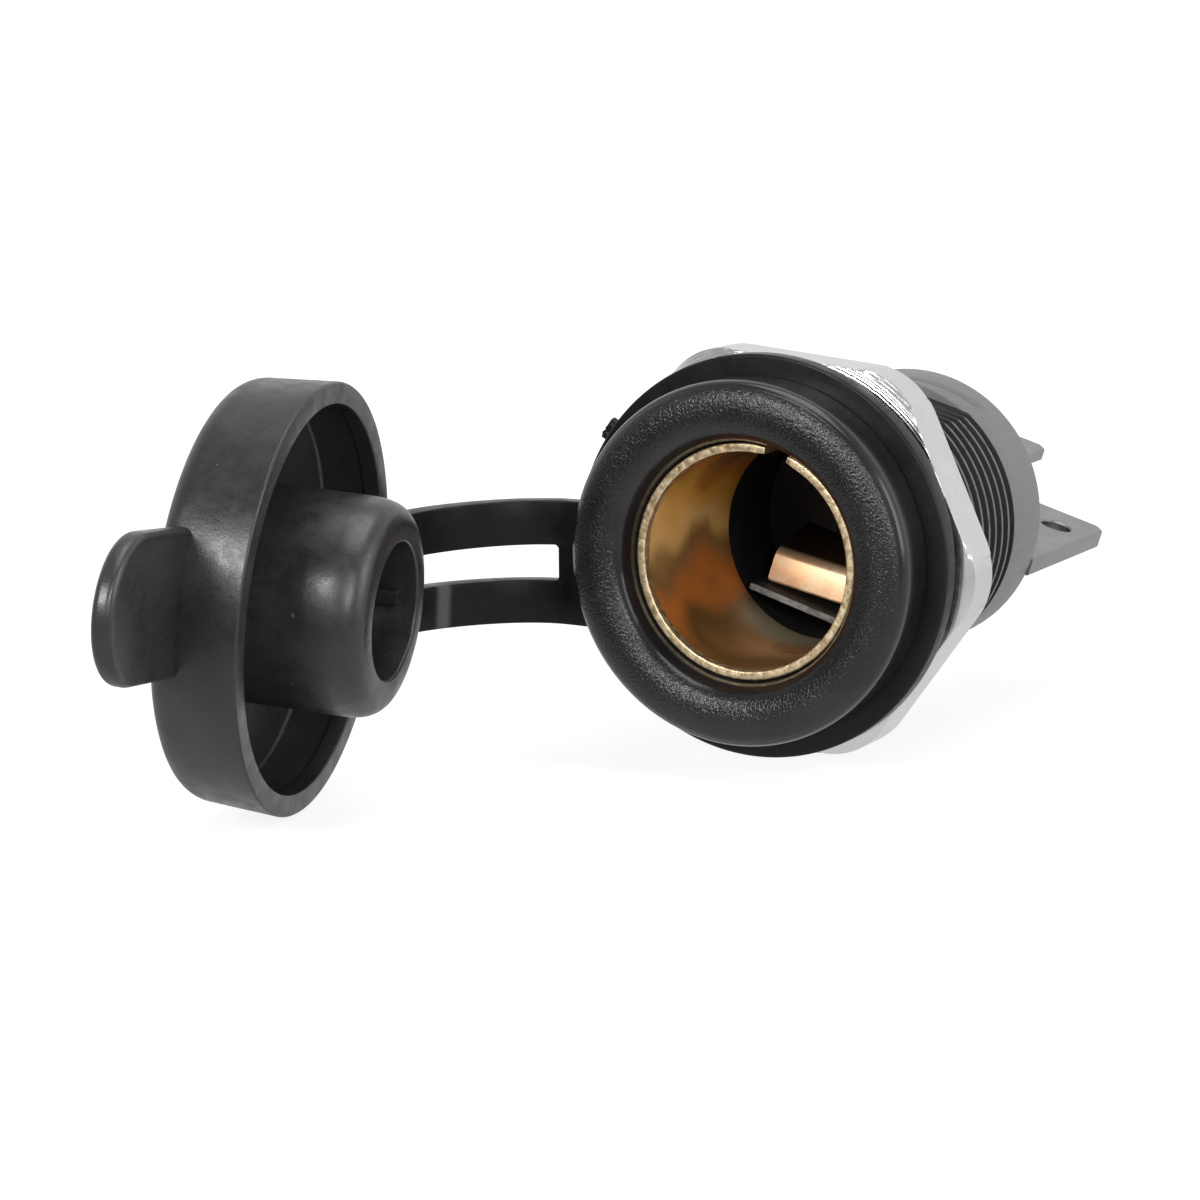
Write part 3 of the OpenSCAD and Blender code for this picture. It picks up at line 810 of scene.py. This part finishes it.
def hexagon():
    """Radii of the rounded hexagon, where a ray from the axis meets a flat or a corner's circle."""
    out = []
    r, c = NUT_CORNER, CORNER_OUT
    for i in range(NUT_STEPS):
        t = TAU * i / NUT_STEPS
        d = t - round(t / (TAU / 6)) * TAU / 6
        flat = (NUT_AF / 2) / math.cos(abs(abs(d) - math.radians(30)))
        s = c * math.sin(d)
        arc = c * math.cos(d) + math.sqrt(max(0.0, r * r - s * s))
        q = Vector((flat * math.cos(d), flat * math.sin(d))) - Vector((c, 0))
        on_corner = abs(math.atan2(q.y, q.x)) < math.radians(30)
        out.append(arc if on_corner else flat)
    return out


def corner_reach(y):
    """The corners' reach at a depth. They are turned back near both faces."""
    near = min(y, NUT_T - y)
    return CORNER_OUT + NUT_CORNER - CORNER_CUT * max(0, 1 - near / CUT_DEPTH)


def nut_ring(radii, y):
    """One ring of the nut, by one radius or by one for each step."""
    out = []
    for i in range(NUT_STEPS):
        t = TAU * i / NUT_STEPS + NUT_TURN
        r = radii[i] if isinstance(radii, list) else radii
        out.append((r * math.sin(t), NUT_Y + y, r * math.cos(t)))
    return out


def nut():
    """Rounded hexagon with broken edges, countersinks and a grooved bore."""
    flats = hexagon()
    rings = [nut_ring(NUT_BORE + 0.35, 0)]
    for y, inset in NUT_EDGES:
        rings.append(nut_ring([min(r - inset, corner_reach(y) - inset * 0.5) for r in flats], y))
    rings.append(nut_ring(NUT_BORE + 0.35, NUT_T))
    rings.append(nut_ring(NUT_BORE + 0.02, NUT_T - 0.33))
    for k in range(NUT_GROOVES + 1):
        y = NUT_T - 0.4 - (NUT_T - 0.8) * k / NUT_GROOVES
        rings.append(nut_ring(NUT_BORE + 0.02 + (NUT_GROOVE if k % 2 else 0), y))
    rings.append(nut_ring(NUT_BORE + 0.02, 0.33))
    verts, faces = loft(rings, loop=True)
    build("nut", verts, faces, NUT, "nut", ["panel_nut"], angle=24)


nut()


# Rubber tether

STUB_HALF, STUB_ROOT = 0.42, 0.15
RING_MID = (HEAD_BACK + RING_BACK) / 2


def torn_stub(turn, width, out, seed):
    """The torn stub of a moulding gate on the ring's edge."""
    rings = []
    n = 14
    for k in range(6):
        h = k / 5
        row = []
        for i in range(n):
            a = TAU * i / n
            rag = 1 + 0.32 * h * noise.noise(Vector((math.cos(a) * 2.1 + seed, math.sin(a) * 2.1, h * 2)))
            u = width * 0.5 * math.cos(a) * (1 - 0.25 * h) * rag
            w = STUB_HALF * math.sin(a) * (1 - 0.2 * h) * rag
            torn = 1 + 0.35 * noise.noise(Vector((a * 1.7, seed, 3.0)))
            r = RING_R - STUB_ROOT + (out + STUB_ROOT) * h * torn
            t = turn + u / RING_R
            row.append((r * math.sin(t), RING_MID + w, r * math.cos(t)))
        rings.append(row)
    return loft(rings)


def tether_ring():
    """The ring behind the head, with two torn stubs close together."""
    section = fillet([(RING_BORE, HEAD_BACK), (RING_R, HEAD_BACK), (RING_R, RING_BACK),
                      (RING_BORE, RING_BACK)], [0.05, 0.16, 0.16, 0.05], 5)
    stub = torn_stub(math.radians(-54.3), 1.1, 0.40, 1.7)
    small_stub = torn_stub(math.radians(-57.2), 0.75, 0.42, 5.2)
    verts, faces = merge(turned(section, 240, along_y), stub, small_stub)
    build("tether_ring", verts, faces, RUBBER_STRAP, "socket", ["strap_ring"], angle=38)


tether_ring()

# the strap's middle line is a cubic curve from the ring's edge to the cap's side
S0 = Vector((-11.83, 2.375, -1.15))
S3 = CAP_C - CAP_N * 0.55 + CAP_A * 12.05 - CAP_B * 1.0
S1 = S0 + Vector((-4, 0, 0))
S2 = S3 + CAP_A * 4
HALF, UPPER, LOWER, THICK = 3.45, 2.55, 2.5, 1.1
STRAP_EDGE, LEG_DROP, SWELL_R = 0.10, 0.22, 0.28


def strap_point(t):
    """Point of the middle line, by the curve's own measure from 0 to 1."""
    return S0 * (1 - t) ** 3 + S1 * 3 * t * (1 - t) ** 2 + S2 * 3 * t * t * (1 - t) + S3 * t ** 3


def strap_frame(t):
    """Directions along the strap, up its width and through its thickness. It twists as it goes."""
    d = ((S1 - S0) * (1 - t) ** 2 + (S2 - S1) * 2 * t * (1 - t) + (S3 - S2) * t * t).normalized()
    up = Vector((0, 0, 1)) * (1 - t) + CAP_B * t
    up = (up - d * up.dot(d)).normalized()
    return d, up, up.cross(d)


# arc length table, so that the window's ends sit at true distances
ts = np.linspace(0, 1, 400)
pts = [strap_point(t) for t in ts]
arc = np.concatenate([[0], np.cumsum([(b - a).length for a, b in zip(pts, pts[1:])])])
LENGTH = float(arc[-1])
WINDOW = (0.76, LENGTH - 0.60)
MIDDLE = LENGTH * 0.5


def strap_at(s):
    """Place and frame at arc length s. Beyond the ends the strap runs straight into its root."""
    within = min(max(s, 0), LENGTH)
    t = float(np.interp(within, arc, ts))
    d, up, side = strap_frame(t)
    return strap_point(t) + d * (s - within), up, side


def strap_row(s, low, top, thick=1.0, edge=STRAP_EDGE, steps=3):
    """The strap's section at arc length s, between two heights."""
    p, up, side = strap_at(s)
    half = THICK / 2
    section = fillet([(-half, low), (half, low), (half, top), (-half, top)], edge, steps)
    return [p + side * q[0] * thick + up * q[1] for q in section]


def swell(s):
    """How much a leg has widened at arc length s, over a small radius at the window's ends."""
    grown = 0.0
    for edge, sign in ((WINDOW[0], 1), (WINDOW[1], -1)):
        e = (s - edge) * sign
        if 0 <= e < SWELL_R:
            grown = max(grown, SWELL_R - math.sqrt(SWELL_R * SWELL_R - (SWELL_R - e) ** 2))
    return grown


def upper_leg(s_from, s_to):
    """The leg above the window."""
    return loft([strap_row(s, HALF - UPPER - swell(s), HALF) for s in np.linspace(s_from, s_to, 60)])


def lower_leg(s_from, s_to):
    """The leg below the window, which drops a little towards the ring."""
    rings = []
    for s in np.linspace(s_from, s_to, 60):
        drop = LEG_DROP * (1 - s / LENGTH)
        rings.append(strap_row(s, -HALF - drop, LOWER - HALF + swell(s) - drop))
    return loft(rings)


def web(s_from, s_to):
    """Joins the legs beyond the window. It is thinner than they are, so that no faces coincide."""
    rings = []
    for s in np.linspace(s_from, s_to, 8):
        thick = 0.94 if s in (s_from, s_to) else 0.98
        rings.append(strap_row(s, LOWER - HALF - 0.5, HALF - UPPER + 0.5, thick, 0, 1))
    return loft(rings)


def strap_near():
    """The half of the strap that starts in the ring."""
    verts, faces = merge(upper_leg(-1.2, MIDDLE), lower_leg(-1.2, MIDDLE), web(-1.2, WINDOW[0]))
    near = build("strap_near", verts, faces, RUBBER_STRAP, None, ["strap"], angle=38)
    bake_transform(near)


def strap_far():
    """The half of the strap that ends in the cap."""
    root = LENGTH + 1.0
    verts, faces = merge(upper_leg(MIDDLE, root), lower_leg(MIDDLE, root), web(WINDOW[1], root))
    far = build("strap_far", verts, faces, RUBBER_STRAP, None, (), angle=38)
    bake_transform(far)


strap_near()
strap_far()


# Dust cap

CAP_BACK_R, BACK_ROUND = CAP_R - 0.23, 1.4
NUB_ROUND, NUB_EDGE = 2, 1.45
LIP_T, UNDERCUT_R = 0.9, LIP_R + 0.15
TAB_ROOT_R = 10.55


def cap_outline():
    """Back, side, undercut lip, cup, hollow nub and its floor, as (radius, height over the rim) pairs."""
    out = [(0.0, -CAP_H), (3.0, -CAP_H), (CAP_BACK_R - BACK_ROUND, -CAP_H)]
    out += bez((CAP_BACK_R - BACK_ROUND, -CAP_H), (CAP_BACK_R, -CAP_H), (CAP_BACK_R, -CAP_H + BACK_ROUND), 12)
    out += fillet([(CAP_BACK_R, -CAP_H + BACK_ROUND), (CAP_R, -0.1), (CAP_R - 0.08, 0), (LIP_R, 0),
                   (LIP_R, -LIP_T), (UNDERCUT_R, -1.08), (UNDERCUT_R, -CAP_DEPTH), (NUB_R, -CAP_DEPTH),
                   (NUB_R, NUB_OUT - NUB_ROUND)],
                  [0, 0.10, 0.06, 0.07, 0.06, 0.06, 0.25, 0.35, 0], 5, closed=False)[1:]
    out += bez((NUB_R, NUB_OUT - NUB_ROUND), (NUB_R, NUB_OUT), (NUB_R - NUB_EDGE, NUB_OUT), 18)
    out += fillet([(NUB_R - NUB_EDGE, NUB_OUT), (NUB_BORE, NUB_OUT), (NUB_BORE, -CAP_DEPTH),
                   (0.0, -CAP_DEPTH)], [0, 0.14, 0.3, 0], 5, closed=False)[1:]
    return out


def in_tab(p):
    """Tab plane: across, out from the cap's axis, depth from the rim."""
    c, s = math.cos(TAB_TURN), math.sin(TAB_TURN)
    return in_cap((p[0] * c - p[1] * s, -p[0] * s - p[1] * c, p[2]))


def finger_tab():
    """A rounded tab that starts inside the cap's wall."""
    root = math.asin(TAB_HALF / TAB_ROOT_R)
    outline = [(TAB_ROOT_R * math.sin(a), TAB_ROOT_R * math.cos(a)) for a in np.linspace(-root, root, 13)]
    for a in np.linspace(0, math.pi, 49):
        outline.append((TAB_HALF * math.cos(a), TAB_REACH - TAB_HALF + TAB_HALF * math.sin(a)))
    return plate(outline, [], TAB_BACK, TAB_FACE, 0.42, in_tab, soft=6)


def nub_rib():
    """A small rib inside the nub, rounded off at its outer end."""
    section = fillet([(-0.4, 3.05), (0.4, 3.05), (0.4, 3.9), (-0.4, 3.9)], [0.1, 0.1, 0, 0], 3)
    rings = []
    for height, narrow in ((-3.5, 1), (3.2, 1), (3.34, 0.97), (3.4, 0.85)):
        rings.append([in_cap((x * narrow, y, height)) for x, y in section])
    return loft(rings)


def cap_moulding():
    """Cup, nub, tab and rib in one piece."""
    verts, faces = merge(turned(cap_outline(), 260, in_cap, loop=False), finger_tab(), nub_rib())
    build("cap_moulding", verts, faces, RUBBER_CAP, "cap", ["dust_cap"], angle=34)


cap_moulding()


# Stage

FLOOR_HALF = 3.0


def shader(nt, kind, grey, strength=None):
    """A plain shader of one grey. Its strength is a number or the output of another node."""
    n = nt.nodes.new(kind)
    n.inputs["Color"].default_value = (grey, grey, grey, 1)
    if isinstance(strength, float):
        n.inputs["Strength"].default_value = strength
    elif strength is not None:
        nt.links.new(strength, n.inputs["Strength"])
    return n.outputs[0]


def two_input(nt, kind, a, b, operation=None):
    """A node with two linked inputs, and its output."""
    n = nt.nodes.new(kind)
    if operation:
        n.operation = operation
    nt.links.new(a, n.inputs[0])
    nt.links.new(b, n.inputs[1])
    return n.outputs[0]


def either(nt, factor, when_zero, when_one):
    """One shader or another, by a factor of 0 or 1."""
    n = nt.nodes.new("ShaderNodeMixShader")
    nt.links.new(factor, n.inputs[0])
    nt.links.new(when_zero, n.inputs[1])
    nt.links.new(when_one, n.inputs[2])
    return n.outputs[0]


def floor_paint():
    """Pale floor that keeps a faint shadow and reads white to the camera and in reflections."""
    m = bpy.data.materials.new("floor_white")
    m.use_nodes = True
    nt = m.node_tree
    nt.nodes.clear()
    place = nt.nodes.new("ShaderNodeTexCoord").outputs["Object"]
    ray = nt.nodes.new("ShaderNodeLightPath").outputs
    # the glow rises away from the part, where the lamps fall off
    reach = nt.nodes.new("ShaderNodeVectorMath")
    reach.operation = "LENGTH"
    nt.links.new(place, reach.inputs[0])
    rise = map_range(nt, reach.outputs["Value"], 0.05, 0.16, 0.86, 1.0)
    glow = shader(nt, "ShaderNodeEmission", 1.0, rise)
    seen = two_input(nt, "ShaderNodeAddShader", glow, shader(nt, "ShaderNodeBsdfDiffuse", 0.25))
    # reflections see the same white floor, dimmer towards the open front side
    depth = map_range(nt, coordinate(nt, place, "Y"), -0.09, 0.01, 0.25, 0.85)
    mirrored = shader(nt, "ShaderNodeEmission", 1.0, depth)
    shiny = two_input(nt, "ShaderNodeMath", ray["Is Glossy Ray"], ray["Is Transmission Ray"], "MAXIMUM")
    unseen = either(nt, shiny, shader(nt, "ShaderNodeBsdfDiffuse", 0.80), mirrored)
    out = nt.nodes.new("ShaderNodeOutputMaterial")
    nt.links.new(either(nt, ray["Is Camera Ray"], unseen, seen), out.inputs["Surface"])
    return m


def floor():
    """The floor, far larger than what the camera sees."""
    h, z = FLOOR_HALF, FLOOR_Z * MM
    me = bpy.data.meshes.new("floor")
    me.from_pydata([(-h, -h, z), (h, -h, z), (h, h, z), (-h, h, z)], [], [(0, 1, 2, 3)])
    me.materials.append(floor_paint())
    o = bpy.data.objects.new("floor", me)
    bpy.context.scene.collection.objects.link(o)


def studio():
    """White world for the camera, a dim fill, and for reflections a white studio."""
    world = bpy.data.worlds.new("studio")
    bpy.context.scene.world = world
    world.use_nodes = True
    nt = world.node_tree
    nt.nodes.clear()
    way = nt.nodes.new("ShaderNodeTexCoord").outputs["Generated"]
    ray = nt.nodes.new("ShaderNodeLightPath").outputs
    # the reflected studio is dimmer on its open front side and overhead
    side = map_range(nt, coordinate(nt, way, "Y"), -0.85, 0.25, 0.30, 0.95)
    over = map_range(nt, coordinate(nt, way, "Z"), 0.45, 0.95, 1.0, 0.45)
    strength = two_input(nt, "ShaderNodeMath", side, over, "MULTIPLY")
    sheen = shader(nt, "ShaderNodeBackground", 1.0, strength)
    fill = shader(nt, "ShaderNodeBackground", 1.0, 0.24)
    white = shader(nt, "ShaderNodeBackground", 1.0, 1.0)
    unseen = either(nt, ray["Is Glossy Ray"], fill, sheen)
    out = nt.nodes.new("ShaderNodeOutputWorld")
    nt.links.new(either(nt, ray["Is Camera Ray"], unseen, white), out.inputs["Surface"])


def softbox(name, at, size, watts):
    """A rectangular lamp that faces the part's middle."""
    d = bpy.data.lights.new(name, "AREA")
    d.shape = "RECTANGLE"
    d.size, d.size_y = size
    d.energy = watts
    o = bpy.data.objects.new(name, d)
    o.location = at
    o.rotation_euler = (Vector((-0.006, 0.0, 0.0)) - Vector(at)).to_track_quat("-Z", "Y").to_euler()
    bpy.context.scene.collection.objects.link(o)


def camera():
    """The camera of the photograph: a long lens, to the right of the bore and a little above."""
    cam = bpy.data.cameras.new("camera")
    cam.lens = 108.0
    cam.sensor_width = 36.0
    cam.clip_start, cam.clip_end = 0.01, 10
    azimuth, elevation, distance = math.radians(27.724), math.radians(10.143), 0.197726
    target = Vector((-6.975, -3.666, -2.1)) * MM
    back = Vector((math.sin(azimuth) * math.cos(elevation), -math.cos(azimuth) * math.cos(elevation),
                   math.sin(elevation)))
    o = bpy.data.objects.new("camera", cam)
    o.location = target + back * distance
    o.rotation_euler = (-back).to_track_quat("-Z", "Y").to_euler()
    bpy.context.scene.collection.objects.link(o)
    bpy.context.scene.camera = o


floor()
studio()
softbox("top_box", (0.03, 0.02, 0.34), (0.30, 0.22), 0.60)
softbox("front_box", (-0.075, -0.385, 0.175), (0.16, 0.14), 1.05)
softbox("front_right", (0.24, -0.30, 0.14), (0.12, 0.16), 0.60)
softbox("right_box", (0.34, 0.03, 0.12), (0.18, 0.22), 0.40)
camera()
bpy.context.scene.view_settings.view_transform = "Standard"
